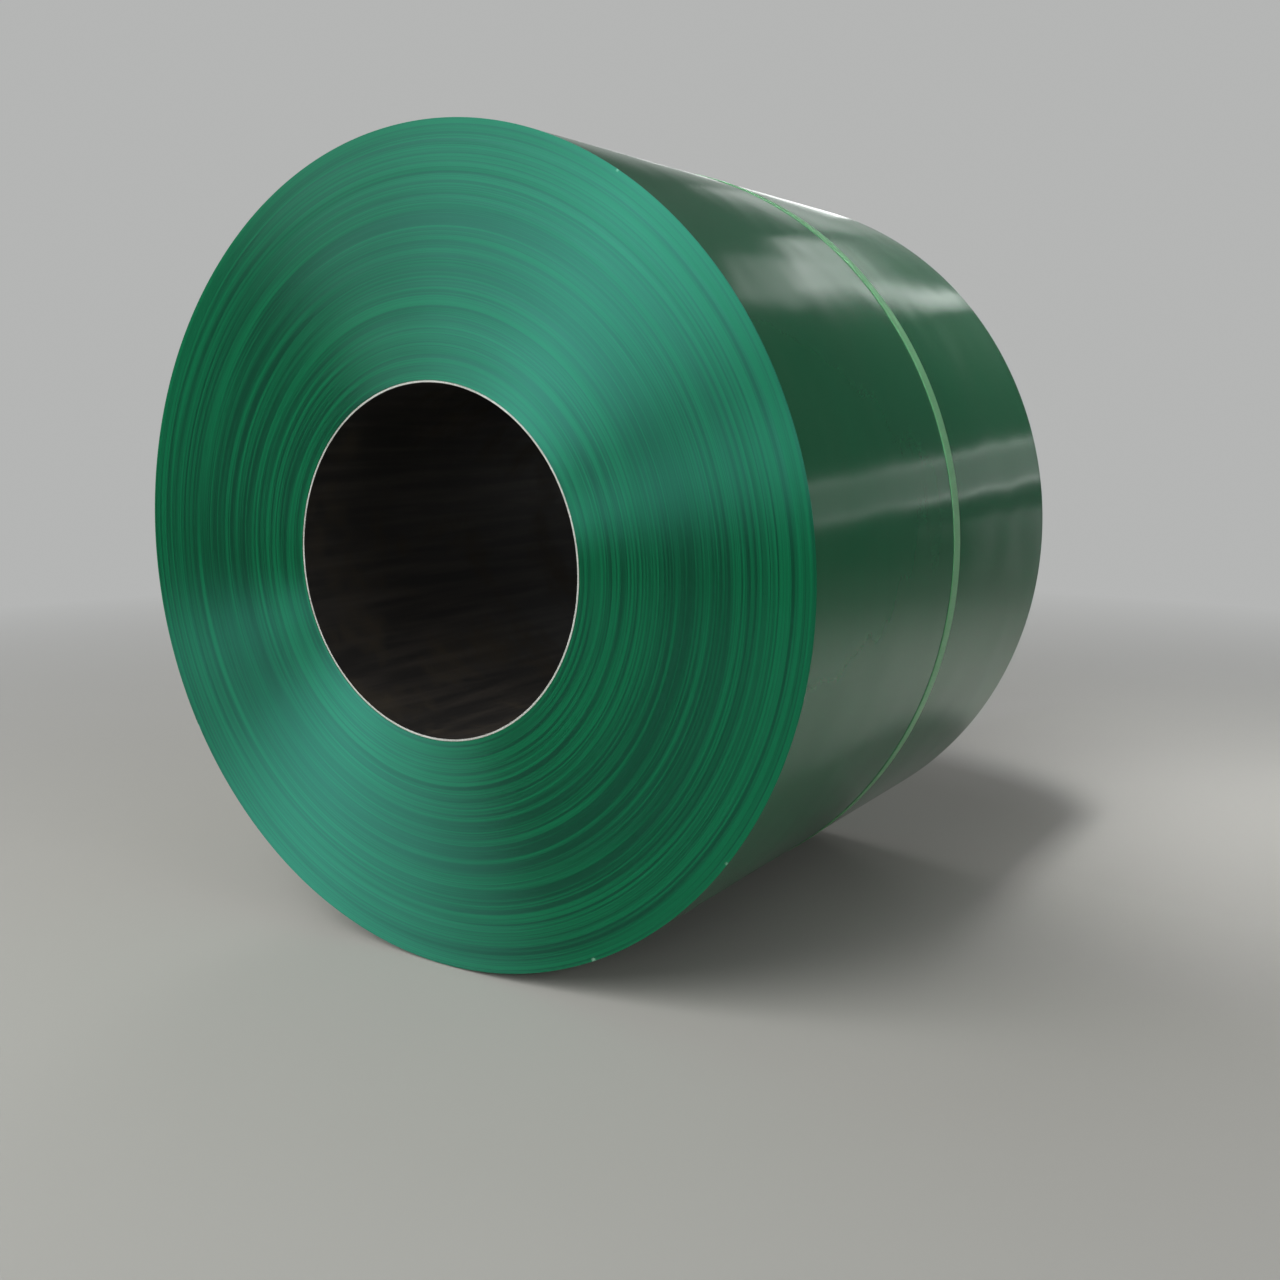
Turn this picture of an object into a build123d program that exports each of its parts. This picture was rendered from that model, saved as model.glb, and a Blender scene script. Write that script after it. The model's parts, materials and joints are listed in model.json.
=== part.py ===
from build123d import *

import os
from itertools import accumulate, pairwise
from math import degrees

# Steel coil: painted strip wound on a thin sleeve and held by one strap.
# It lies on its side. The roll's axis is along Y, with the end that shows at -Y, and +Z is up.
# The origin is on the floor, under the middle of the roll. Lengths are in millimetres.

# The strip and the roll
strip_width = 914.0
coil_diameter = 1203.0

# The sleeve in the bore, which slips over a mandrel
bore_diameter = 508.0
sleeve_wall = 3.0
sleeve_clearance = 0.3

# The turns, in bands that wandered sideways while the strip was wound, from the bore outwards.
# Each band has its number of turns, and stands out of the near end by its number of steps.
# Between two bands, the strip crosses over sideways in a few turns.
band_turns = (38, 45, 68, 57, 70, 57, 53, 49, 36, 47, 43, 28, 77, 36, 29)
band_steps_out = (1, 0, 2, -1, 1, 0, 1, 2, 0, 1, 0, -1, 2, -2, 0)
band_step = 0.5
crossing_turns = 8

# The strap, and the place where its two ends lie over each other and are welded
strap_width = 25.0
strap_thickness = 1.0
strap_clearance = 0.3
strap_from_near_end = 480.0
weld_length = 70.0
weld_angle = 300.0

# Radii, from the bore outwards
bore_radius = bore_diameter / 2
sleeve_radius = bore_radius + sleeve_wall
coil_inner_radius = sleeve_radius + sleeve_clearance
coil_outer_radius = coil_diameter / 2
strap_inner_radius = coil_outer_radius + strap_clearance
strap_outer_radius = strap_inner_radius + strap_thickness

# The axis lies as high as the strap, which the roll stands on
roll_centre = Vector(0, 0, strap_outer_radius)
roll_axis = Axis(roll_centre, (0, 1, 0))

# Sections are drawn above the axis: local X runs along it and local Y is the radius
section_plane = Plane(origin=roll_centre, x_dir=(0, 1, 0), z_dir=(1, 0, 0))

# The line that the strip's edge follows from turn to turn, as shifts towards +Y and radii:
# flat along a band, and sloping where the strip crosses over to the next one
turn_height = (coil_outer_radius - coil_inner_radius) / sum(band_turns)
half_crossing = crossing_turns / 2 * turn_height
band_shifts = [-steps_out * band_step for steps_out in band_steps_out]
edge_corners = [(band_shifts[0], coil_inner_radius)]
for turns_inside, (shift, next_shift) in zip(accumulate(band_turns), pairwise(band_shifts)):
    crossing_radius = coil_inner_radius + turns_inside * turn_height
    edge_corners.append((shift, crossing_radius - half_crossing))
    edge_corners.append((next_shift, crossing_radius + half_crossing))
edge_corners.append((band_shifts[-1], coil_outer_radius))

# The roll: all turns are as wide as the strip, so what stands out at one end stands in at the other
with BuildPart() as coil:
    with BuildSketch(section_plane):
        with BuildLine():
            near_edge = Polyline([(shift - strip_width / 2, radius) for shift, radius in edge_corners])
            far_edge = Polyline([(shift + strip_width / 2, radius) for shift, radius in edge_corners])
            Line(near_edge @ 0, far_edge @ 0)
            Line(near_edge @ 1, far_edge @ 1)
        make_face()
    revolve(axis=roll_axis)
coil.part.label = "coil"

# The sleeve: a plain tube as long as the strip is wide
with BuildPart() as core_sleeve:
    with BuildSketch(section_plane):
        with Locations((0, bore_radius + sleeve_wall / 2)):
            Rectangle(strip_width, sleeve_wall)
    revolve(axis=roll_axis)
core_sleeve.part.label = "core_sleeve"

# The strap: a tight band round the roll, with its outer end laid over the inner one
strap_place = strap_from_near_end - strip_width / 2
weld_arc = degrees(weld_length / strap_outer_radius)
with BuildPart() as strap:
    with BuildSketch(section_plane):
        with Locations((strap_place, strap_inner_radius + strap_thickness / 2)):
            Rectangle(strap_width, strap_thickness)
    revolve(axis=roll_axis)
    with BuildSketch(section_plane.rotated((0, weld_angle, 0))):
        with Locations((strap_place, strap_outer_radius + strap_thickness / 2)):
            Rectangle(strap_width, strap_thickness)
    revolve(axis=roll_axis, revolution_arc=weld_arc)
strap.part.label = "strap"

os.makedirs("parts", exist_ok=True)
export_step(coil.part, "parts/coil.step")
export_step(core_sleeve.part, "parts/core_sleeve.step")
export_step(strap.part, "parts/strap.step")
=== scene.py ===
"""Looks of the steel coil: the wound roll, its sleeve and strap, and the studio round them."""

import json
import logging
import math
from collections.abc import Sequence
from dataclasses import dataclass
from enum import Enum
from itertools import pairwise

import bpy
import numpy as np
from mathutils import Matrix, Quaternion, Vector


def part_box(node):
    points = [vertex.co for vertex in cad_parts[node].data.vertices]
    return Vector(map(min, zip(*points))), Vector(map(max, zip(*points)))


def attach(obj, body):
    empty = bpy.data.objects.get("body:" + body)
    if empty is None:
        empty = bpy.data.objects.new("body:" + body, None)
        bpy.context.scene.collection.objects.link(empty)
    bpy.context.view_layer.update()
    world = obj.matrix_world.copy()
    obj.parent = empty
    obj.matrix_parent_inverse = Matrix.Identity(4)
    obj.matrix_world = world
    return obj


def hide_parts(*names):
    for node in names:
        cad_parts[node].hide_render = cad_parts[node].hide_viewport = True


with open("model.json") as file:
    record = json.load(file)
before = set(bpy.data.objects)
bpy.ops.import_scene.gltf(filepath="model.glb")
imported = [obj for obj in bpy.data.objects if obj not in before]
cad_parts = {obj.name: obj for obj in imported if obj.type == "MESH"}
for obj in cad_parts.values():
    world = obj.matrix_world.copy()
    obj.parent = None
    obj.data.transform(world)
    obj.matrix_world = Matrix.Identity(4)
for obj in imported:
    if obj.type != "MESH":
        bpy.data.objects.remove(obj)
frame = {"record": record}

log = logging.getLogger("steel_coil")

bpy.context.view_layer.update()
BODY = "root"

MM = 0.001
TURN_PITCH = 0.47 * MM
FULL_TURN = 2.0 * math.pi
UV_LAYER = "round_and_along"

# Nearly all the values of a noise texture lie between these
NOISE_SPAN = (0.3, 0.7)

Pair = tuple[float, float]
Triple = tuple[float, float, float]
Colour = tuple[float, float, float, float]
BLACK: Colour = (0.0, 0.0, 0.0, 1.0)
GREY: Colour = (0.5, 0.5, 0.5, 1.0)
Socket = bpy.types.NodeSocket


class Face(Enum):
    """The finishes that a turned piece has on its faces, by the number of their material."""

    WALL = 0
    ENDS = 1


def clock(degrees: float) -> float:
    """Turns a clock angle, from the top towards +X, into radians."""
    return math.radians(degrees)


def smooth_step(value: np.ndarray) -> np.ndarray:
    """Eases a share from 0 to 1: 3 times its square less 2 times its cube, held at both ends."""
    share = np.clip(value, 0.0, 1.0)
    return share * share * (3.0 - 2.0 * share)


@dataclass(frozen=True)
class RollPlace:
    """Where the roll lies and how large it is, read from the frame, in metres."""

    axis_height: float
    outer_radius: float
    bore_radius: float
    sleeve_radius: float
    strip_width: float

    @classmethod
    def from_frame(cls, bore_radius: float) -> "RollPlace":
        """Reads the roll's place from the boxes of the coil and its sleeve.

        Args:
            bore_radius: the radius of the bore, as the record's bore mount gives it.

        Returns:
            The roll's place.
        """
        low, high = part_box("coil")
        sleeve_low, sleeve_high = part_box("core_sleeve")
        return cls(
            axis_height=(low.z + high.z) / 2,
            outer_radius=(high.z - low.z) / 2,
            bore_radius=bore_radius,
            sleeve_radius=(sleeve_high.z - sleeve_low.z) / 2,
            strip_width=sleeve_high.y - sleeve_low.y,
        )

    def points(self, radius: np.ndarray, along: np.ndarray, angle: np.ndarray) -> np.ndarray:
        """Carries a profile round the roll's axis.

        A point at clock angle a has x = radius times sin a and y = along, and z is the axis's
        height plus radius times cos a.

        Args:
            radius: distance from the axis, rows of the profile by columns round the axis.
            along: place along the axis, of the same shape.
            angle: clock angle of the columns, in radians.

        Returns:
            The points, row after row, three numbers each.
        """
        x = radius * np.sin(angle)
        z = self.axis_height + radius * np.cos(angle)
        return np.stack(np.broadcast_arrays(x, along, z), axis=-1).reshape(-1, 3)


def grid_faces(rows: int, columns: int, closed: bool) -> np.ndarray:
    """Joins a grid, whose last row joins its first, into four-sided faces that look outwards.

    Args:
        rows: points on the profile.
        columns: points on the way round.
        closed: whether the last column joins the first.

    Returns:
        The four point numbers of each face.
    """
    row = np.arange(rows)[:, None]
    column = np.arange(columns if closed else columns - 1)[None, :]
    here, there = row * columns, (row + 1) % rows * columns
    beside = (column + 1) % columns
    corners = (here + column, here + beside, there + beside, there + column)
    return np.stack(np.broadcast_arrays(*corners), axis=-1).reshape(-1, 4)


def grid_uv(column_places: np.ndarray, row_places: np.ndarray) -> np.ndarray:
    """Lays the faces of a grid flat: u is a column's place and v a row's.

    Args:
        column_places: place of each column, with the one that closes the grid.
        row_places: place of each row, with the one that closes the profile.

    Returns:
        u and v for the four corners of each face.
    """
    shape = (len(row_places) - 1, len(column_places) - 1)
    u, v = column_places[None, :], row_places[:, None]
    left, right = (np.broadcast_to(side, shape) for side in (u[:, :-1], u[:, 1:]))
    near, far = (np.broadcast_to(side, shape) for side in (v[:-1], v[1:]))
    corners = ((left, near), (right, near), (right, far), (left, far))
    return np.stack([np.stack(corner, axis=-1) for corner in corners], axis=2).reshape(-1, 2)


def way_round(across: np.ndarray, out: np.ndarray) -> np.ndarray:
    """Adds up the length of a closed profile from point to point, and back to its first point."""
    steps = np.hypot(np.diff(across, append=across[0]), np.diff(out, append=out[0]))
    return np.concatenate([[0.0], np.cumsum(steps)])


def make_piece(
    name: str, points: np.ndarray, faces: list[list[int]], sharp_degrees: float = 30.0
) -> bpy.types.Object:
    """Puts points and faces into a smooth mesh with sharp edges.

    Args:
        name: the piece's name.
        points: the points, in metres.
        faces: the point numbers of each face.
        sharp_degrees: an edge that turns by more than this stays sharp.

    Returns:
        The new object, at the origin, unturned and unscaled.
    """
    mesh = bpy.data.meshes.new(name)
    mesh.from_pydata(points.tolist(), [], faces)
    mesh.shade_smooth()
    mesh.set_sharp_from_angle(angle=math.radians(sharp_degrees))
    piece = bpy.data.objects.new(name, mesh)
    bpy.context.scene.collection.objects.link(piece)
    return piece


def lay_flat(piece: bpy.types.Object, uv: np.ndarray) -> None:
    """Gives a piece its UV map.

    Args:
        piece: the piece.
        uv: u and v for each corner of each face, in the faces' order.
    """
    layer = piece.data.uv_layers.new(name=UV_LAYER)
    layer.data.foreach_set("uv", uv.astype(np.float32).ravel())


def choose_faces(piece: bpy.types.Object, on_ends: np.ndarray, columns: int) -> None:
    """Gives the faces of a turned piece their materials, row by row.

    Args:
        piece: the piece.
        on_ends: for each row of faces, whether it belongs to an end.
        columns: faces in a row.
    """
    kinds = np.where(on_ends, Face.ENDS.value, Face.WALL.value)
    piece.data.polygons.foreach_set("material_index", np.repeat(kinds, columns).astype(np.int32))


def finish_piece(
    piece: bpy.types.Object, node: str, materials: Sequence[bpy.types.Material]
) -> None:
    """Gives a piece its materials and puts it in the place of its CAD node.

    Args:
        piece: the piece.
        node: the CAD node that it stands for.
        materials: its materials, by their numbers.
    """
    for material in materials:
        piece.data.materials.append(material)
    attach(piece, BODY)
    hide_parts(node)
    corners = np.array(piece.bound_box)
    size = " by ".join(f"{length / MM:.1f}" for length in np.ptp(corners, axis=0))
    log.info("%s: %d faces, %s mm", piece.name, len(piece.data.polygons), size)


class NodeSheet:
    """The nodes of one material, world or group, with short ways to add and join them."""

    def __init__(self, tree: bpy.types.NodeTree) -> None:
        """Clears the tree."""
        self.tree = tree
        self.tree.nodes.clear()

    def add(self, kind: str, inputs: dict | None = None, **settings: object) -> bpy.types.Node:
        """Adds a node.

        Args:
            kind: the node's type.
            inputs: a value or the socket that feeds it, for each input by its name or number.
            settings: the node's own settings, made before its inputs are filled.

        Returns:
            The new node.
        """
        node = self.tree.nodes.new(kind)
        for name, value in settings.items():
            setattr(node, name, value)
        for key, value in (inputs or {}).items():
            if isinstance(value, Socket):
                self.tree.links.new(value, node.inputs[key])
            else:
                node.inputs[key].default_value = value
        return node

    def math(self, operation: str, first: object, second: object = 0.0) -> Socket:
        """Adds a Math node and returns its result."""
        return self.add("ShaderNodeMath", {0: first, 1: second}, operation=operation).outputs[0]

    def vector(self, x: object, y: object, z: object) -> Socket:
        """Joins three numbers into a vector."""
        return self.add("ShaderNodeCombineXYZ", {0: x, 1: y, 2: z}).outputs[0]

    def noise(
        self, place: object, scale: float, detail: float = 2.0, roughness: float = 0.5
    ) -> Socket:
        """Adds a Noise Texture and returns its value."""
        inputs = {"Vector": place, "Scale": scale, "Detail": detail, "Roughness": roughness}
        return self.add("ShaderNodeTexNoise", inputs).outputs[0]

    def remap(
        self, value: object, low: float, high: float, new_low: float = 0.0, new_high: float = 1.0
    ) -> Socket:
        """Carries a value from one range to another, held at its ends."""
        inputs = {0: value, 1: low, 2: high, 3: new_low, 4: new_high}
        return self.add("ShaderNodeMapRange", inputs, clamp=True).outputs[0]

    def mix(self, share: object, first: object, second: object) -> Socket:
        """Mixes two colours, through the sockets that the Mix node keeps for colours."""
        inputs = {0: share, 6: first, 7: second}
        return self.add("ShaderNodeMix", inputs, data_type="RGBA").outputs[2]

    def bump(
        self, height: object, distance: float, strength: float, normal: Socket | None = None
    ) -> Socket:
        """Adds a Bump node, on top of another normal if one is given, and returns its normal."""
        inputs = {"Height": height, "Distance": distance, "Strength": strength}
        if normal is not None:
            inputs["Normal"] = normal
        return self.add("ShaderNodeBump", inputs).outputs[0]

    def group(self, tree: bpy.types.NodeTree, inputs: dict) -> bpy.types.Node:
        """Places a node group."""
        return self.add("ShaderNodeGroup", inputs, node_tree=tree)

    def finish(self, inputs: dict) -> None:
        """Adds the surface's shader and joins it to the material's output."""
        shader = self.add("ShaderNodeBsdfPrincipled", inputs)
        self.add("ShaderNodeOutputMaterial", {"Surface": shader.outputs[0]})


def new_material(name: str) -> tuple[bpy.types.Material, NodeSheet, Socket]:
    """Starts a material.

    Args:
        name: the material's name.

    Returns:
        The material, its nodes and the socket with Object coordinates.
    """
    material = bpy.data.materials.new(name)
    material.use_nodes = True
    sheet = NodeSheet(material.node_tree)
    return material, sheet, sheet.add("ShaderNodeTexCoord").outputs["Object"]


def new_group(
    name: str, numbers: Sequence[str], results: Sequence[str]
) -> tuple[NodeSheet, bpy.types.Node]:
    """Starts a shader node group that takes a place and some numbers.

    Args:
        name: the group's name.
        numbers: names of its number inputs, after the input Place.
        results: names of its number outputs.

    Returns:
        The group's sheet and its input node.
    """
    tree = bpy.data.node_groups.new(name, "ShaderNodeTree")
    tree.interface.new_socket("Place", in_out="INPUT", socket_type="NodeSocketVector")
    for number in numbers:
        tree.interface.new_socket(number, in_out="INPUT", socket_type="NodeSocketFloat")
    for result in results:
        tree.interface.new_socket(result, in_out="OUTPUT", socket_type="NodeSocketFloat")
    sheet = NodeSheet(tree)
    return sheet, sheet.add("NodeGroupInput")


class SharedEffects:
    """The node groups that the finishes are made with."""

    ENDS_APART = 37.0

    def __init__(self, axis_height: float) -> None:
        """Builds the groups.

        Args:
            axis_height: height of the roll's axis over the floor.
        """
        self.axis_height = axis_height
        self.polar = self._polar()
        self.rings = self._rings()
        self.dust = self._dust()
        self.chip = self._chip()

    def dusty(self, sheet: NodeSheet, place: Socket, amount: float) -> Socket:
        """Places the dust in a material and returns the socket with its mask."""
        return sheet.group(self.dust, {"Place": place, "Amount": amount}).outputs["Mask"]

    def _polar(self) -> bpy.types.NodeTree:
        """Builds the group that tells where a point lies round the axis.

        Radius is the distance from the axis, Across and Up are the sine and cosine of the clock
        angle, and Along is the place along the axis.
        """
        sheet, source = new_group("round_the_axis", (), ("Radius", "Across", "Up", "Along"))
        x, y, z = sheet.add("ShaderNodeSeparateXYZ", {0: source.outputs["Place"]}).outputs
        rise = sheet.math("SUBTRACT", z, self.axis_height)
        flat = sheet.vector(x, rise, 0.0)
        radius = sheet.add("ShaderNodeVectorMath", {0: flat}, operation="LENGTH").outputs["Value"]
        across = sheet.math("DIVIDE", x, radius)
        up = sheet.math("DIVIDE", rise, radius)
        sheet.add("NodeGroupOutput", {"Radius": radius, "Across": across, "Up": up, "Along": y})
        return sheet.tree

    def _rings(self) -> bpy.types.NodeTree:
        """Builds the group that draws uneven rings on the ends of the roll.

        They are noise on sine, cosine and radius, which changes fast with the radius and slowly
        round the axis, so it has no seam. The two ends read it at places far apart.
        """
        sheet, source = new_group("uneven_rings", ("Per Metre", "Changes"), ("Value",))
        polar = sheet.group(self.polar, {"Place": source.outputs["Place"]})
        across = sheet.math("MULTIPLY", polar.outputs["Across"], source.outputs["Changes"])
        up = sheet.math("MULTIPLY", polar.outputs["Up"], source.outputs["Changes"])
        out = sheet.math("MULTIPLY", polar.outputs["Radius"], source.outputs["Per Metre"])
        apart = sheet.math("MULTIPLY", sheet.math("SIGN", polar.outputs["Along"]), self.ENDS_APART)
        place = sheet.vector(sheet.math("ADD", across, apart), up, out)
        sheet.add("NodeGroupOutput", {"Value": sheet.noise(place, 1.0, 1.0)})
        return sheet.tree

    def _dust(self) -> bpy.types.NodeTree:
        """Builds the group that spreads thin dust: clouds of it, broken up into fine grains."""
        sheet, source = new_group("thin_dust", ("Amount",), ("Mask",))
        place = source.outputs["Place"]
        clouds = sheet.remap(sheet.noise(place, 4.0, 4.0, 0.6), 0.4, 0.75)
        grains = sheet.remap(sheet.noise(place, 420.0, 2.0, 0.7), 0.4, 0.75, 0.35, 1.0)
        share = sheet.math("MULTIPLY", clouds, grains)
        mask = sheet.math("MULTIPLY", share, source.outputs["Amount"])
        sheet.add("NodeGroupOutput", {"Mask": mask})
        return sheet.tree

    def _chip(self) -> bpy.types.NodeTree:
        """Builds the group that marks one chip in the paint: a ragged spot round a point."""
        names = ("X", "Y", "Z", "Size")
        sheet, source = new_group("paint_chip", names, ("Mask",))
        place = source.outputs["Place"]
        x, y, z, size = (source.outputs[name] for name in names)
        inputs = {0: place, 1: sheet.vector(x, y, z)}
        distance = sheet.add("ShaderNodeVectorMath", inputs, operation="DISTANCE").outputs["Value"]
        ragged = sheet.remap(sheet.noise(place, 700.0, 2.0, 0.6), *NOISE_SPAN, 0.45, 1.35)
        share = sheet.math("DIVIDE", distance, sheet.math("MULTIPLY", size, ragged))
        sheet.add("NodeGroupOutput", {"Mask": sheet.remap(share, 0.75, 1.0, 1.0, 0.0)})
        return sheet.tree


@dataclass(frozen=True)
class Chip:
    """One chip in the paint of the near end: its clock angle, distance from the axis and size."""

    at_clock: float
    radius: float
    size: float

    def mask(self, sheet: NodeSheet, place: Socket, effects: SharedEffects, along: float) -> Socket:
        """Places the chip in a material.

        Args:
            sheet: the material's nodes.
            place: the socket with Object coordinates.
            effects: the shared node groups.
            along: where the chipped end lies along the axis.

        Returns:
            The socket with its mask.
        """
        angle = clock(self.at_clock)
        inputs = {
            "Place": place,
            "X": self.radius * math.sin(angle),
            "Y": along,
            "Z": effects.axis_height + self.radius * math.cos(angle),
            "Size": self.size,
        }
        return sheet.group(effects.chip, inputs).outputs["Mask"]


@dataclass(frozen=True)
class RingKind:
    """Rings of one width: their number to a metre, change round the roll, and relief."""

    per_metre: float
    changes: float
    relief: float

    def value(self, sheet: NodeSheet, place: Socket, effects: SharedEffects) -> Socket:
        """Places the rings in a material and returns the socket with their value."""
        inputs = {"Place": place, "Per Metre": self.per_metre, "Changes": self.changes}
        return sheet.group(effects.rings, inputs).outputs["Value"]


@dataclass(frozen=True)
class StripEdges:
    """The painted edges of the wound strip, turn on turn, which make up the roll's two ends.

    Edges that run round the axis scatter light across themselves. So the sheen is turned a quarter
    from the way round, which gives it two bright wedges.
    """

    shade: Colour = (0.0002, 0.024, 0.0055, 1.0)
    light: Colour = (0.0005, 0.094, 0.029, 1.0)
    bare: Colour = (0.13, 0.27, 0.18, 1.0)
    sheen: Colour = (0.20, 1.0, 0.82, 1.0)
    kinds: tuple[RingKind, ...] = (
        RingKind(120.0, 0.7, 0.2 * MM),
        RingKind(380.0, 0.8, 0.07 * MM),
        RingKind(860.0, 1.2, 0.035 * MM),
        RingKind(1.0 / TURN_PITCH, 1.6, 0.03 * MM),
    )
    tone_shares: Triple = (0.27, 0.45, 0.28)
    tone_range: Pair = (0.43, 0.59)
    roughness: Pair = (0.46, 0.54)
    sheen_ior: float = 1.72
    sheen_turn: float = 0.25
    ring_half_width: float = 3.2 * MM
    ring_waver: float = 3.0 * MM
    ring_fade: Pair = (0.04, 0.3)
    middle_radius: float = 430.0 * MM
    middle_range: Pair = (50.0 * MM, 170.0 * MM)
    middle_tones: Pair = (-0.024, 0.034)
    # Each ring's radius in mm and strength: below 0 a painted shade, above 0 a painted highlight.
    rings: tuple[Pair, ...] = (
        (296.0, -0.6), (320.0, 0.9), (329.0, -1.0), (361.0, 0.9), (388.0, -0.6),
        (440.0, -0.6), (491.0, 0.8), (502.0, -0.6), (560.0, 0.9), (571.0, -1.0),
    )
    chips: tuple[Chip, ...] = (
        Chip(152.5, 599.5 * MM, 4.2 * MM),
        Chip(126.2, 599.8 * MM, 2.6 * MM),
        Chip(32.2, 599.8 * MM, 2.4 * MM),
    )

    def build(self, effects: SharedEffects, along: float) -> bpy.types.Material:
        """Builds the material.

        Args:
            effects: the shared node groups.
            along: where the near end lies along the axis.

        Returns:
            The material.
        """
        material, sheet, place = new_material("strip_edges")

        rings = [kind.value(sheet, place, effects) for kind in self.kinds]
        broad, middle, fine = (
            sheet.math("MULTIPLY", ring, share) for ring, share in zip(rings, self.tone_shares)
        )
        tone = sheet.math("ADD", sheet.math("ADD", broad, middle), fine)
        tone = sheet.math("ADD", tone, self._painted_ring_shade(sheet, place, effects))
        # Painted shade where the turns lie low and painted light where they stand proud: the same
        # rings give the bumps below.
        paint = sheet.mix(sheet.remap(tone, *self.tone_range), self.shade, self.light)
        chipped = 0.0
        for chip in self.chips:
            chipped = sheet.math("MAXIMUM", chipped, chip.mask(sheet, place, effects, along))

        normal = None
        for kind, ring in zip(self.kinds, rings):
            normal = sheet.bump(ring, kind.relief, 1.0, normal)
        tangent = sheet.add("ShaderNodeTangent", direction_type="UV_MAP", uv_map=UV_LAYER)
        sheet.finish({
            "Base Color": sheet.mix(chipped, paint, self.bare),
            "Roughness": sheet.remap(rings[1], *NOISE_SPAN, *self.roughness),
            "IOR": self.sheen_ior,
            "Specular IOR Level": 1.0,
            "Specular Tint": self.sheen,
            "Anisotropic": 1.0,
            "Anisotropic Rotation": self.sheen_turn,
            "Tangent": tangent.outputs[0],
            "Normal": normal,
        })
        return material

    def _painted_ring_shade(self, sheet: NodeSheet, place: Socket, effects: SharedEffects) -> Socket:
        """Paints shade and highlight on the few rings that stand out, a turn or two higher or
        lower.

        A ramp along the radius is grey, with a peak of painted highlight or a dip of painted shade
        at each ring. The radius that it reads wavers slowly round the axis, and the rings fade in
        and out.
        The bore's side and the rim's are a little lighter than the middle between them.

        Args:
            sheet: the material's nodes.
            place: the socket with Object coordinates.
            effects: the shared node groups.

        Returns:
            The socket with their tone, from below 0 for dark to above 0 for light, painted shade
            and highlight at the rings.
        """
        polar = sheet.group(effects.polar, {"Place": place})
        across, up, radius = (polar.outputs[name] for name in ("Across", "Up", "Radius"))
        waver = sheet.noise(sheet.vector(across, up, 0.0), 2.2, 2.0)
        off_radius = sheet.remap(waver, 0.2, 0.8, -self.ring_waver, self.ring_waver)
        ramp = sheet.add("ShaderNodeValToRGB", {0: sheet.math("ADD", radius, off_radius)})
        stops = ramp.color_ramp.elements
        stops[0].position, stops[0].color = 0.0, GREY
        stops[1].position, stops[1].color = 1.0, GREY
        for radius_mm, strength in self.rings:
            for offset, value in ((-1.0, 0.5), (0.0, 0.5 + 0.5 * strength), (1.0, 0.5)):
                stop = stops.new(radius_mm * MM + offset * self.ring_half_width)
                stop.color = (value, value, value, 1.0)
        clouds = sheet.noise(sheet.vector(up, across, 3.0), 1.0, 2.0)
        fade = sheet.remap(clouds, 0.38, 0.62, *self.ring_fade)
        # Painted shade and highlight of the rings, faded in and out.
        ring_shade_and_highlight = sheet.math("MULTIPLY", sheet.math("SUBTRACT", ramp.outputs[0], 0.5), fade)
        off_middle = sheet.math("ABSOLUTE", sheet.math("SUBTRACT", radius, self.middle_radius))
        sides = sheet.remap(off_middle, *self.middle_range, *self.middle_tones)
        return sheet.math("ADD", ring_shade_and_highlight, sides)


@dataclass(frozen=True)
class PaintedSheet:
    """The glossy paint on the strip's face, which makes up the roll's outer surface.

    Its fine lines are faint and have no relief. With more of either, the renderer's noise filter
    draws a comb of marks across the gloss.
    """

    deep: Colour = (0.0089, 0.117, 0.0494, 1.0)
    pale: Colour = (0.0095, 0.121, 0.0516, 1.0)
    gloss: Colour = (0.84, 1.0, 0.86, 1.0)
    dust: Colour = (0.30, 0.33, 0.27, 1.0)
    dust_amount: float = 0.05
    roughness: Pair = (0.12, 0.18)
    line_stretch: float = 30.0
    swell_stretch: float = 2.2
    swell_height: float = 5.0 * MM
    peel_height: float = 0.005 * MM

    def build(self, effects: SharedEffects) -> bpy.types.Material:
        """Builds the material, with the help of the shared node groups."""
        material, sheet, place = new_material("painted_sheet")
        polar = sheet.group(effects.polar, {"Place": place})
        across, up, along = (polar.outputs[name] for name in ("Across", "Up", "Along"))
        lines_along = sheet.math("MULTIPLY", along, self.line_stretch)
        lines = sheet.noise(sheet.vector(across, up, lines_along), 1.2, 1.5, 0.5)
        swell_along = sheet.math("MULTIPLY", along, self.swell_stretch)
        swell = sheet.noise(sheet.vector(across, up, swell_along), 1.5, 2.0, 0.45)
        clouds = sheet.noise(place, 2.6, 3.0, 0.55)
        paint = sheet.mix(sheet.remap(lines, 0.35, 0.65), self.deep, self.pale)
        dusty = effects.dusty(sheet, place, self.dust_amount)
        peel = sheet.noise(place, 140.0, 1.0)
        normal = sheet.bump(peel, self.peel_height, 1.0, sheet.bump(swell, self.swell_height, 1.0))
        sheet.finish({
            "Base Color": sheet.mix(dusty, paint, self.dust),
            "Roughness": sheet.remap(clouds, *NOISE_SPAN, *self.roughness),
            "Specular Tint": self.gloss,
            "Normal": normal,
        })
        return material


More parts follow.
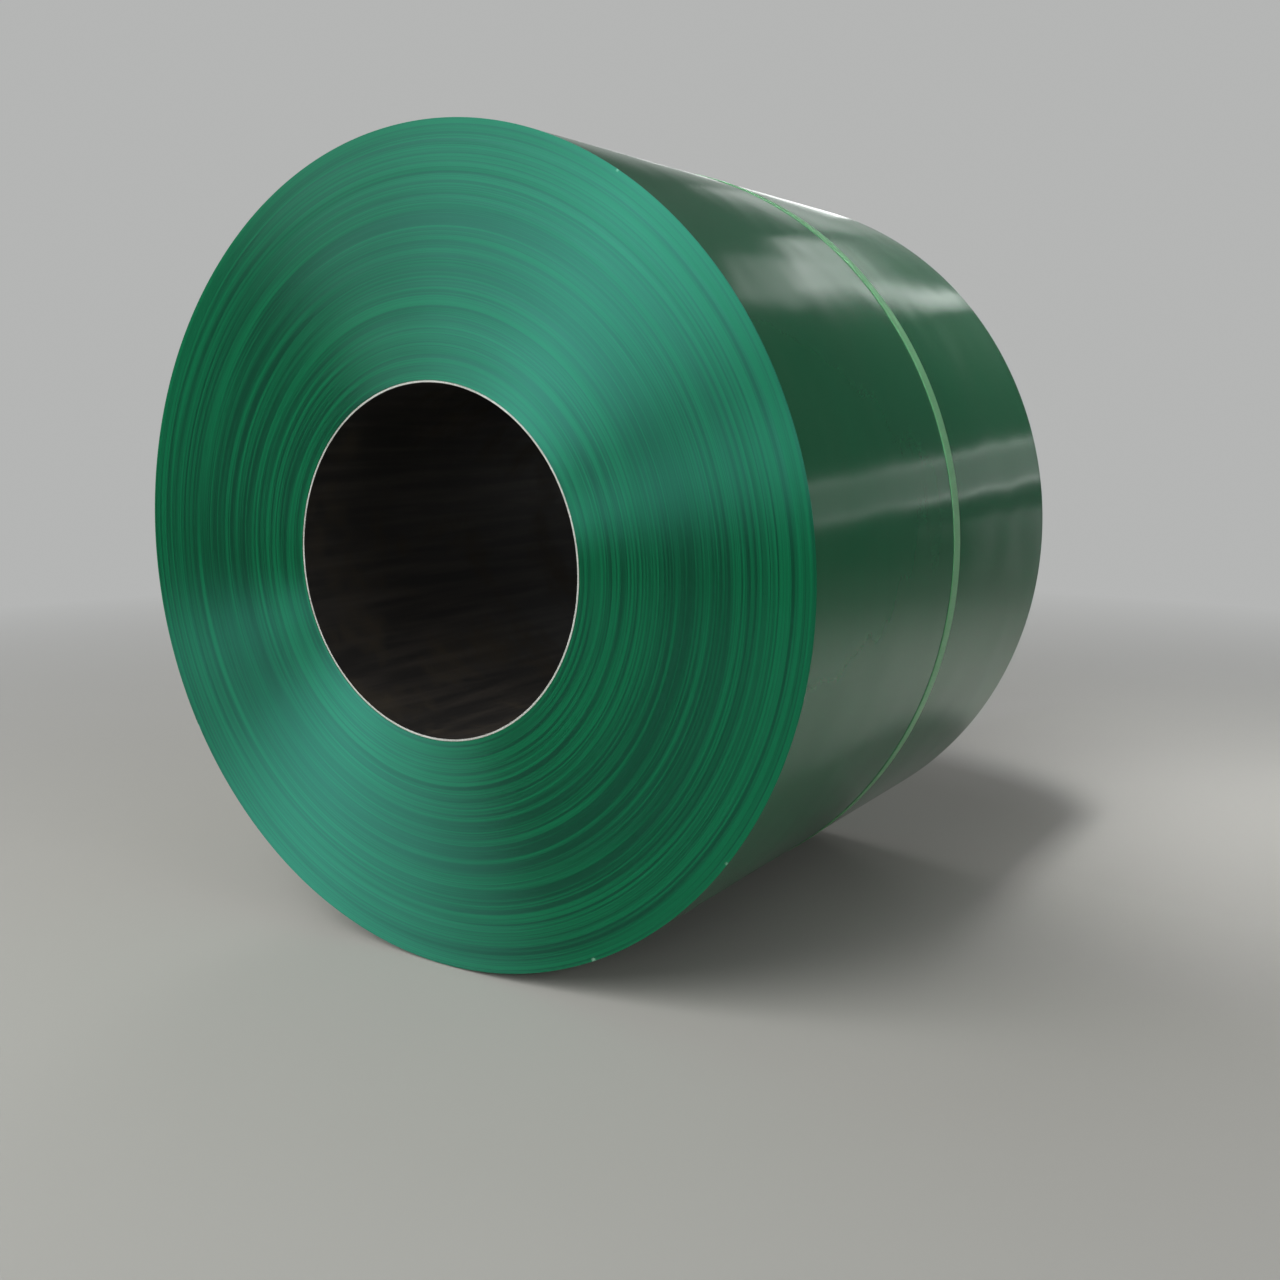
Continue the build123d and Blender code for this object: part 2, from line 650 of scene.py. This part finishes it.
@dataclass(frozen=True)
class ScaleAndBoreShade:
    """The dull scale on the sleeve's wall, with a little brown rust.

    Its near-black colour is partly painted shade of the unlit bore.
    """

    # Near black: dark scale and painted shade inside the bore.
    scale: Colour = (0.013, 0.012, 0.011, 1.0)
    worn: Colour = (0.030, 0.026, 0.022, 1.0)
    rust: Colour = (0.034, 0.026, 0.015, 1.0)
    rust_share: float = 0.7
    dust_amount: float = 0.12
    roughness: Pair = (0.55, 0.80)
    specular_level: float = 0.3
    drawn_stretch: Triple = (60.0, 4.0, 60.0)
    relief: float = 0.15 * MM

    def build(self, effects: SharedEffects) -> bpy.types.Material:
        """Builds the material, with the help of the shared node groups."""
        material, sheet, place = new_material("scale_and_bore_shade")
        patches = sheet.noise(place, 9.0, 5.0, 0.62)
        inputs = {"Vector": place, "Scale": self.drawn_stretch}
        drawn = sheet.noise(sheet.add("ShaderNodeMapping", inputs).outputs[0], 1.0, 3.0)
        steel = sheet.mix(sheet.remap(drawn, 0.4, 0.7), self.scale, self.worn)
        rusty = sheet.remap(patches, 0.5, 0.7, 0.0, self.rust_share)
        dusty = effects.dusty(sheet, place, self.dust_amount)
        sheet.finish({
            "Base Color": sheet.mix(rusty, steel, self.rust),
            "Roughness": sheet.remap(sheet.math("ADD", rusty, dusty), 0.0, 1.0, *self.roughness),
            "Specular IOR Level": self.specular_level,
            "Normal": sheet.bump(sheet.math("ADD", patches, drawn), self.relief, 0.5),
        })
        return material


@dataclass(frozen=True)
class SawnEdge:
    """The bright cut edge of the sleeve, with fine saw marks across it."""

    bright: Colour = (0.62, 0.64, 0.60, 1.0)
    dull: Colour = (0.42, 0.43, 0.39, 1.0)
    metallic: float = 0.55
    roughness: Pair = (0.38, 0.55)
    marks_round: float = 160.0
    relief: float = 0.15 * MM

    def build(self, effects: SharedEffects) -> bpy.types.Material:
        """Builds the material, with the help of the shared node groups."""
        material, sheet, place = new_material("sawn_edge")
        polar = sheet.group(effects.polar, {"Place": place})
        round_place = sheet.vector(polar.outputs["Across"], polar.outputs["Up"], 0.0)
        marks = sheet.noise(round_place, self.marks_round, 3.0, 0.6)
        patches = sheet.noise(place, 14.0, 3.0, 0.6)
        worn = sheet.remap(sheet.math("ADD", marks, patches), 0.8, 1.2)
        sheet.finish({
            "Base Color": sheet.mix(worn, self.dull, self.bright),
            "Metallic": self.metallic,
            "Roughness": sheet.remap(marks, *NOISE_SPAN, *self.roughness),
            "Normal": sheet.bump(marks, self.relief, 0.7),
        })
        return material


@dataclass(frozen=True)
class StrapPlastic:
    """Light green strapping with a pressed waffle pattern."""

    green: Colour = (0.125, 0.390, 0.175, 1.0)
    light: Colour = (0.180, 0.470, 0.225, 1.0)
    dust: Colour = (0.42, 0.45, 0.38, 1.0)
    dust_amount: float = 0.15
    tone_shares: Pair = (0.4, 0.6)
    roughness: Pair = (0.3, 0.42)
    waffle_pitch: float = 2.4 * MM
    waffle_depth: float = 0.12 * MM
    drawn_stretch: Pair = (6.0, 900.0)

    def build(self, effects: SharedEffects) -> bpy.types.Material:
        """Builds the material, with the help of the shared node groups."""
        material, sheet, place = new_material("strap_plastic")
        flat = sheet.add("ShaderNodeUVMap", uv_map=UV_LAYER).outputs[0]
        u, v, _ = sheet.add("ShaderNodeSeparateXYZ", {0: flat}).outputs
        waves = FULL_TURN / self.waffle_pitch
        down = sheet.math("SINE", sheet.math("MULTIPLY", sheet.math("ADD", u, v), waves))
        cross = sheet.math("SINE", sheet.math("MULTIPLY", sheet.math("SUBTRACT", u, v), waves))
        waffle = sheet.remap(sheet.math("MAXIMUM", down, cross), 0.2, 1.0)
        length, width = (
            sheet.math("MULTIPLY", way, stretch) for way, stretch in zip((u, v), self.drawn_stretch)
        )
        drawn = sheet.noise(sheet.vector(length, width, 0.0), 1.0)
        shares = zip((waffle, drawn), self.tone_shares)
        tone = sheet.math("ADD", *(sheet.math("MULTIPLY", *pair) for pair in shares))
        dusty = effects.dusty(sheet, place, self.dust_amount)
        sheet.finish({
            "Base Color": sheet.mix(dusty, sheet.mix(tone, self.green, self.light), self.dust),
            "Roughness": sheet.remap(tone, 0.2, 0.8, *self.roughness),
            "Normal": sheet.bump(waffle, self.waffle_depth, 1.0),
        })
        return material


@dataclass(frozen=True)
class Winding:
    """How the turns lie at the ends: in bands that wandered sideways as the strip was wound."""

    band_turns: tuple[int, ...] = (38, 45, 68, 57, 70, 57, 53, 49, 36, 47, 43, 28, 77, 36, 29)
    band_steps_out: tuple[int, ...] = (1, 0, 2, -1, 1, 0, 1, 2, 0, 1, 0, -1, 2, -2, 0)
    band_step: float = 0.3 * MM
    crossing_turns: int = 20

    def corners(self, inner: float, outer: float) -> tuple[np.ndarray, np.ndarray]:
        """Finds the corners of the line that the strip's edge follows from turn to turn.

        Args:
            inner: radius of the first turn.
            outer: radius of the last turn.

        Returns:
            Radii from the bore outwards, and shifts towards +Y. Bands are flat, joined by slopes.
        """
        turns = np.array(self.band_turns)
        turn = (outer - inner) / turns.sum()
        crossings = inner + turn * np.cumsum(turns)[:-1]
        half = self.crossing_turns / 2 * turn
        both_sides = np.stack([crossings - half, crossings + half], axis=1).ravel()
        radii = np.concatenate([[inner], both_sides, [outer]])
        return radii, np.repeat(-self.band_step * np.array(self.band_steps_out), 2)


@dataclass(frozen=True)
class WoundRoll:
    """The roll of painted strip, as one turned body whose ends show the turns."""

    place: RollPlace
    winding: Winding = Winding()
    sleeve_gap: float = 0.3 * MM
    columns: int = 318
    surface_rows: int = 34
    row_step: float = 3.1 * MM
    rim_round: float = 0.35 * MM
    sharp_degrees: float = 14.0
    tail_clock: float = 240.0
    ring_waves: int = 22
    ring_lengths: Pair = (7.0 * MM, 26.0 * MM)
    ring_play: float = 0.03 * MM
    surface_waves: tuple[int, ...] = (5, 7, 9, 12, 3, 16, 11, 8)
    surface_play: float = 0.16 * MM
    surface_slant: float = 1.6
    seed: int = 7

    def build(self) -> bpy.types.Object:
        """Builds the roll's mesh.

        The profile runs along the near end to the rim, over the outer surface, and along the far
        end back to the bore, where its last row closes on its first.

        Returns:
            The roll.
        """
        angle = self._angles()
        ring = self._end_radii()
        radius, along = self._profile(ring, angle)
        rows, columns = radius.shape
        points = self.place.points(radius, along, angle)
        faces = grid_faces(rows, columns, True).tolist()
        piece = make_piece("wound_roll", points, faces, self.sharp_degrees)
        shares = np.append(angle, angle[0] + FULL_TURN) / FULL_TURN
        lay_flat(piece, grid_uv(shares, way_round(along[:, 0], radius[:, 0])))
        row = np.arange(rows)
        near = row < len(ring)
        far = (row >= rows - len(ring) - 1) & (row < rows - 1)
        choose_faces(piece, near | far, columns)
        return piece

    def _angles(self) -> np.ndarray:
        """Spreads the columns evenly round the axis, with two close together at the tail."""
        even = np.linspace(0.0, FULL_TURN, self.columns, endpoint=False)
        sliver = TURN_PITCH / self.place.outer_radius
        tail = clock(self.tail_clock) + np.array([-0.5, 0.5]) * sliver
        return np.sort(np.concatenate([even, tail]))

    def _corners(self) -> tuple[np.ndarray, np.ndarray]:
        """Gives the radii and shifts at the corners of the winding's bands."""
        inner = self.place.sleeve_radius + self.sleeve_gap
        return self.winding.corners(inner, self.place.outer_radius)

    def _end_radii(self) -> np.ndarray:
        """Places the rows of an end between the corners of its bands, up to the rim's rounding."""
        corners, _ = self._corners()
        corners[-1] -= self.rim_round
        spans = [
            np.linspace(start, end, math.ceil((end - start) / self.row_step), endpoint=False)
            for start, end in pairwise(corners)
        ]
        return np.concatenate([*spans, corners[-1:]])

    def _shift(self, radius: np.ndarray, angle: np.ndarray) -> np.ndarray:
        """Says how far the turns lie towards +Y.

        It is the bands' own line, plus a sum of sine waves along the radius. Each wave has its own
        length, and swells and fades slowly round the axis. The sum is scaled down by the root of
        their number, so that more of them give no more relief.

        Args:
            radius: radii, one for each row.
            angle: clock angles, one for each column.

        Returns:
            The shifts, rows by columns.
        """
        shift = np.interp(radius, *self._corners())
        chance = np.random.default_rng(self.seed)
        lengths = chance.uniform(*self.ring_lengths, self.ring_waves)[:, None, None]
        starts, swells = chance.uniform(0.0, FULL_TURN, (2, self.ring_waves))[:, :, None, None]
        turns = chance.integers(1, 4, self.ring_waves)[:, None, None]
        wave = np.sin(FULL_TURN * radius[None, :, None] / lengths + starts)
        swell = 0.5 + 0.5 * np.sin(turns * angle[None, None, :] + swells)
        play = (wave * swell).sum(axis=0) * math.sqrt(3.0 / self.ring_waves)
        return shift[:, None] + self.ring_play * play

    def surface(self, share: np.ndarray, angle: np.ndarray) -> np.ndarray:
        """Gives the outer surface's radius.

        The last turn starts one turn's thickness higher at the tail, and runs down a spiral to the
        turn under it. Long shallow waves, as the tension left them, take a little more off.

        Args:
            share: how far each row lies from the near rim to the far one, 0 to 1.
            angle: clock angles of the columns.

        Returns:
            The radii, rows by columns.
        """
        spiral = (angle - clock(self.tail_clock)) % FULL_TURN / FULL_TURN
        chance = np.random.default_rng(self.seed + 1)
        count = len(self.surface_waves)
        starts = chance.uniform(0.0, FULL_TURN, count)[:, None, None]
        slants = chance.uniform(-self.surface_slant, self.surface_slant, count)[:, None, None]
        waves = np.array(self.surface_waves)[:, None, None]
        phase = waves * angle[None, None, :] + FULL_TURN * slants * share[None, :, None] + starts
        dents = self.surface_play * (1.0 + np.sin(phase).mean(axis=0) * math.sqrt(count) / 2)
        return self.place.outer_radius - TURN_PITCH * spiral[None, :] - dents

    def _profile(self, ring: np.ndarray, angle: np.ndarray) -> tuple[np.ndarray, np.ndarray]:
        """Works out the radius and the place along the axis of every point.

        Args:
            ring: radii of the rows of an end.
            angle: clock angles of the columns.

        Returns:
            Radii and places along the axis, rows by columns.
        """
        shift = self._shift(ring, angle)
        rim_shift = self._shift(np.array([self.place.outer_radius]), angle)
        half = self.place.strip_width / 2
        share = np.linspace(0.0, 1.0, self.surface_rows)
        surface = self.surface(share, angle)
        near_end = np.minimum(ring[:, None], surface[[0]] - self.rim_round)
        far_end = np.minimum(ring[:, None], surface[[-1]] - self.rim_round)[::-1]
        reach = half - self.rim_round
        skin = rim_shift + reach * (2.0 * share[:, None] - 1.0)
        radius = np.concatenate([near_end, surface, far_end])
        along = np.concatenate([shift - half, skin, shift[::-1] + half])
        return radius, along


@dataclass(frozen=True)
class CoreSleeve:
    """The thin steel sleeve that lines the bore."""

    place: RollPlace
    columns: int = 288
    wall_rows: int = 7
    edge_round: float = 0.3 * MM
    saw_waves: tuple[int, ...] = (2, 5, 9, 17, 31, 47)
    saw_play: float = 0.15 * MM
    seed: int = 3

    def build(self) -> bpy.types.Object:
        """Builds the sleeve's mesh: a tube with two sawn edges, whose corners are a little rounded.

        The saw wavered, so each edge is drawn in by a sum of sine waves round the axis. An edge
        takes three rows of faces: the cut itself and its two rounded corners.

        Returns:
            The sleeve.
        """
        angle = np.linspace(0.0, FULL_TURN, self.columns, endpoint=False)
        inner, outer = self.place.bore_radius, self.place.sleeve_radius
        low, high = inner + self.edge_round, outer - self.edge_round
        half = self.place.strip_width / 2
        wall = np.linspace(-1.0, 1.0, self.wall_rows) * (half - self.edge_round)
        flat = np.ones(self.wall_rows)
        radius = np.concatenate([[low, high], outer * flat, [high, low], inner * flat])
        along = np.concatenate([[-half, -half], wall, [half, half], wall[::-1]])
        chance = np.random.default_rng(self.seed)
        starts = chance.uniform(0.0, FULL_TURN, len(self.saw_waves))[:, None]
        waves = np.array(self.saw_waves)[:, None]
        waver = 1.0 + np.sin(waves * angle[None, :] + starts).mean(axis=0)
        drawn_in = along[:, None] - self.saw_play * waver[None, :] * np.sign(along)[:, None]
        points = self.place.points(radius[:, None], drawn_in, angle)
        rows = len(radius)
        faces = grid_faces(rows, self.columns, True).tolist()
        piece = make_piece("sleeve_tube", points, faces)
        shares = np.append(angle, FULL_TURN) / FULL_TURN
        lay_flat(piece, grid_uv(shares, way_round(along, radius)))
        far = 1 + self.wall_rows
        on_edges = np.isin(np.arange(rows), [0, 1, far, far + 1, far + 2, rows - 1])
        choose_faces(piece, on_edges, self.columns)
        return piece


@dataclass(frozen=True)
class Strap:
    """The plastic strap, pulled tight round the roll with its two ends welded over each other."""

    roll: WoundRoll
    low: Vector
    high: Vector
    thickness: float = 1.0 * MM
    clearance: float = 0.05 * MM
    corner: float = 0.3 * MM
    inner_end_clock: float = 300.0
    lap: float = 70.0 * MM
    rise: float = 9.0 * MM
    stations: int = 420
    corner_points: int = 4
    wander: float = 0.5 * MM
    wander_waves: tuple[Triple, ...] = ((2.0, 0.7, 1.0), (5.0, 0.0, 0.4))
    sharp_degrees: float = 20.0

    def build(self) -> bpy.types.Object:
        """Builds the strap's mesh: its section, carried round the roll and over its own first end.

        It lies on the roll's surface, and rises by its own thickness just before the lap. A few
        waves to a turn let it wander along the roll.

        Returns:
            The strap.
        """
        place, middle = self.roll.place, (self.low.y + self.high.y) / 2
        full = FULL_TURN * (place.outer_radius + self.thickness / 2)
        way = np.linspace(0.0, full + self.lap, self.stations)
        angle = clock(self.inner_end_clock) + way / full * FULL_TURN
        share = np.array([middle / place.strip_width + 0.5])
        inner = self.roll.surface(share, angle) + self.clearance
        lift = self.thickness * smooth_step((way - full + self.rise) / self.rise)
        drift = self.wander * sum(
            size * np.sin(waves * angle + start) for waves, start, size in self.wander_waves
        )
        across, out = self._section()
        radius = inner + out[:, None] + lift[None, :]
        along = middle + across[:, None] + drift[None, :]
        points = place.points(radius, along, angle)
        ring = np.arange(len(across)) * self.stations
        first_end, last_end = ring.tolist(), (ring[::-1] + self.stations - 1).tolist()
        sides = grid_faces(len(ring), self.stations, False).tolist()
        piece = make_piece("strap_band", points, [*sides, first_end, last_end], self.sharp_degrees)
        caps = np.zeros((2 * len(ring), 2))
        lay_flat(piece, np.concatenate([grid_uv(way, way_round(across, out)), caps]))
        return piece

    def _section(self) -> tuple[np.ndarray, np.ndarray]:
        """Draws the strap's section: a rectangle with a quarter circle at each corner.

        It starts under the near edge and runs up it, over the top and down the far edge.

        Returns:
            Places across the strap, from its middle, and outwards, from its underside.
        """
        half, r = (self.high.y - self.low.y) / 2, self.corner
        quarter = math.pi / 2
        turn = quarter * (3.0 - np.arange(4)[:, None] - np.linspace(0.0, 1.0, self.corner_points))
        across = np.array([-1.0, -1.0, 1.0, 1.0])[:, None] * (half - r) + r * np.cos(turn)
        out = np.array([r, self.thickness - r, self.thickness - r, r])[:, None] + r * np.sin(turn)
        return across.ravel(), out.ravel()


@dataclass(frozen=True)
class Softbox:
    """A rectangular studio lamp. Its roll, and the spread that its grid leaves, are in degrees."""

    name: str
    place: Triple
    aim: Triple
    width: float
    height: float
    watts: float
    spread: float = 180.0
    roll: float = 0.0

    def hang(self) -> None:
        """Hangs the lamp, facing its aim, out of the camera's sight."""
        data = bpy.data.lights.new(self.name, "AREA")
        data.shape = "RECTANGLE"
        data.size, data.size_y = self.width, self.height
        data.energy = self.watts
        data.spread = math.radians(self.spread)
        lamp = bpy.data.objects.new(self.name, data)
        bpy.context.scene.collection.objects.link(lamp)
        lamp.location = self.place
        lamp.rotation_mode = "QUATERNION"
        facing = (Vector(self.aim) - Vector(self.place)).to_track_quat("-Z", "Y")
        lamp.rotation_quaternion = facing @ Quaternion((0.0, 0.0, 1.0), math.radians(self.roll))
        lamp.visible_camera = False


@dataclass(frozen=True)
class Studio:
    """A pale floor, a soft grey surround and the lamps.

    Between a range's two values a share runs from 0 to 1, and for the pale height from 1 to 0.
    """

    floor_half: float = 30.0
    fade_range: Pair = (0.9, 4.2)
    floor_side_range: Pair = (0.44, 0.62)
    sky_side_range: Pair = (0.62, 0.78)
    pale_height_range: Pair = (0.26, 0.38)
    zenith_range: Pair = (0.40, 0.60)
    floor: Colour = (0.41, 0.405, 0.38, 1.0)
    floor_mottle: Colour = (0.39, 0.385, 0.36, 1.0)
    pale: Colour = (0.46, 0.465, 0.46, 1.0)
    dim: Colour = (0.07, 0.07, 0.07, 1.0)
    zenith: Colour = (0.20, 0.20, 0.20, 1.0)
    pale_way: Triple = (-0.643, 0.766, 0.0)
    softboxes: tuple[Softbox, ...] = (
        Softbox("key", (-0.9, -4.1, 3.62), (0.0, -0.35, 0.8), 4.2, 5.2, 108.0, 100.0, -62.0),
        Softbox("left_fill", (-3.30, -2.95, 2.6), (0.0, -0.46, 0.6), 2.2, 1.2, 40.0),
        Softbox("low_fill", (1.45, -4.6, 1.6), (0.0, -0.46, 0.6), 1.8, 1.0, 34.0),
        Softbox("right_fill", (4.8, -1.0, 2.2), (0.2, 0.0, 0.6), 2.2, 1.6, 13.0, 100.0),
        Softbox("back_fill", (-3.6, 3.4, 4.2), (0.0, 0.2, 0.6), 2.4, 1.8, 14.0, 100.0),
        Softbox("far_fill", (-2.4, 4.4, 1.7), (0.0, 0.46, 0.6), 1.8, 1.2, 18.0),
        Softbox("pool", (0.5, -1.6, 4.5), (0.95, 1.25, 0.0), 0.6, 0.6, 5.0, 26.0),
        Softbox("high_pane", (-1.63, 5.3, 3.17), (0.3, 0.0, 1.1), 1.0, 0.5, 0.8),
        Softbox("long_pane", (-0.12, 5.4, 3.56), (0.45, 0.0, 1.0), 1.25, 0.30, 1.7),
        Softbox("tall_pane", (0.35, 5.58, 3.2), (0.45, 0.0, 1.0), 0.42, 0.60, 1.3),
        Softbox("near_pane", (0.50, 5.28, 3.84), (0.45, 0.0, 1.0), 1.15, 0.45, 0.95),
        Softbox("side_band", (3.0, 6.4, 1.30), (0.6, 0.0, 0.7), 3.0, 0.62, 0.36, 80.0),
        Softbox("side_line_up", (3.0, 6.3, 1.64), (0.6, 0.0, 0.7), 3.0, 0.05, 0.14, 80.0),
        Softbox("side_line_low", (3.0, 6.3, 0.97), (0.6, 0.0, 0.7), 3.0, 0.05, 0.14, 80.0),
    )

    def build(self) -> None:
        """Lays the floor, lights the surround and hangs the lamps."""
        square = ((-1.0, -1.0, 0.0), (1.0, -1.0, 0.0), (1.0, 1.0, 0.0), (-1.0, 1.0, 0.0))
        floor = make_piece("floor", self.floor_half * np.array(square), [[0, 1, 2, 3]])
        floor.data.materials.append(self._floor_paint())
        self._surround()
        for softbox in self.softboxes:
            softbox.hang()

    def _floor_paint(self) -> bpy.types.Material:
        """Builds the floor's matt paint, faintly mottled, which fades into the backdrop far off."""
        material, sheet, place = new_material("floor_paint")
        colour = sheet.mix(sheet.noise(place, 1.5, 3.0), self.floor, self.floor_mottle)
        away = sheet.add("ShaderNodeVectorMath", {0: place}, operation="LENGTH").outputs["Value"]
        heading = sheet.add("ShaderNodeVectorMath", {0: place}, operation="NORMALIZE").outputs[0]
        pale_side = sheet.remap(self._facing(sheet, heading), *self.floor_side_range)
        shows = self._backdrop_shows(sheet, pale_side)
        fade = sheet.math("MULTIPLY", sheet.remap(away, *self.fade_range), shows)
        sheet.finish({
            "Base Color": sheet.mix(fade, colour, BLACK),
            "Roughness": 0.7,
            "Specular IOR Level": 0.0,
            "Emission Color": sheet.mix(fade, BLACK, self.pale),
            "Emission Strength": 1.0,
        })
        return material

    def _surround(self) -> None:
        """Makes the backdrop: pale for the camera, and for the rest dim and lighter overhead."""
        world = bpy.data.worlds.new("surround")
        bpy.context.scene.world = world
        world.use_nodes = True
        sheet = NodeSheet(world.node_tree)
        direction = sheet.add("ShaderNodeTexCoord").outputs["Generated"]
        height = sheet.add("ShaderNodeSeparateXYZ", {0: direction}).outputs[2]
        beside = sheet.remap(self._facing(sheet, direction), *self.sky_side_range)
        below = sheet.remap(height, *self.pale_height_range, 1.0, 0.0)
        overhead = sheet.remap(height, *self.zenith_range)
        pale_side = sheet.math("MULTIPLY", beside, below)
        surround = sheet.mix(overhead, self.dim, self.zenith)
        colour = sheet.mix(self._backdrop_shows(sheet, pale_side), surround, self.pale)
        background = sheet.add("ShaderNodeBackground", {"Color": colour})
        sheet.add("ShaderNodeOutputWorld", {"Surface": background.outputs[0]})

    def _facing(self, sheet: NodeSheet, direction: Socket) -> Socket:
        """Gives the cosine between a direction and the middle of the surround's pale side."""
        inputs = {0: direction, 1: self.pale_way}
        return sheet.add("ShaderNodeVectorMath", inputs, operation="DOT_PRODUCT").outputs["Value"]

    @staticmethod
    def _backdrop_shows(sheet: NodeSheet, pale_side: Socket) -> Socket:
        """Gives where the pale backdrop shows.

        Args:
            sheet: the nodes to add to.
            pale_side: 1 on the side where gloss shows the backdrop too, and 0 elsewhere.

        Returns:
            1 for the camera all round, and for reflections and glass on the pale side.
        """
        rays = sheet.add("ShaderNodeLightPath").outputs
        bounced = sheet.math("MAXIMUM", rays["Is Glossy Ray"], rays["Is Transmission Ray"])
        on_pale_side = sheet.math("MULTIPLY", bounced, pale_side)
        return sheet.math("MAXIMUM", rays["Is Camera Ray"], on_pale_side)


@dataclass(frozen=True)
class PhotoCamera:
    """The camera, where the outlines of the coil's two ends in the photograph put it."""

    place: Triple = (1.28025, -1.90433, 0.8232)
    forward: Triple = (-0.5317, 0.8296, -0.1702)
    sensor: float = 36.0
    focal_px: float = 1350.0
    photo_side_px: float = 1280.0

    def build(self) -> None:
        """Makes the scene's camera. Its lens is the focal length's share of the photo's side."""
        data = bpy.data.cameras.new("photo_camera")
        data.sensor_width = self.sensor
        data.lens = self.sensor * self.focal_px / self.photo_side_px
        camera = bpy.data.objects.new("photo_camera", data)
        bpy.context.scene.collection.objects.link(camera)
        camera.location = self.place
        camera.rotation_mode = "QUATERNION"
        camera.rotation_quaternion = Vector(self.forward).to_track_quat("-Z", "Y")
        bpy.context.scene.camera = camera


def bore_radius() -> float:
    """Reads the bore's radius from the record's bore mount, in metres."""
    mounts = frame["record"]["mounts"]
    return next(mount["dims"]["r_mm"] for mount in mounts if mount["kind"] == "bore") * MM


def main() -> None:
    """Builds the pieces, the studio and the camera, in that order."""
    logging.basicConfig(level=logging.INFO, format="%(name)s: %(message)s")
    place = RollPlace.from_frame(bore_radius())
    effects = SharedEffects(place.axis_height)
    near_end = -place.strip_width / 2

    roll_materials = (PaintedSheet().build(effects), StripEdges().build(effects, near_end))
    roll = WoundRoll(place)
    finish_piece(roll.build(), "coil", roll_materials)

    sleeve_materials = (ScaleAndBoreShade().build(effects), SawnEdge().build(effects))
    finish_piece(CoreSleeve(place).build(), "core_sleeve", sleeve_materials)

    strap = Strap(roll, *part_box("strap")).build()
    finish_piece(strap, "strap", (StrapPlastic().build(effects),))

    Studio().build()
    PhotoCamera().build()
    bpy.context.scene.view_settings.view_transform = "Standard"
    bpy.context.view_layer.update()


if __name__ == "__main__":
    main()
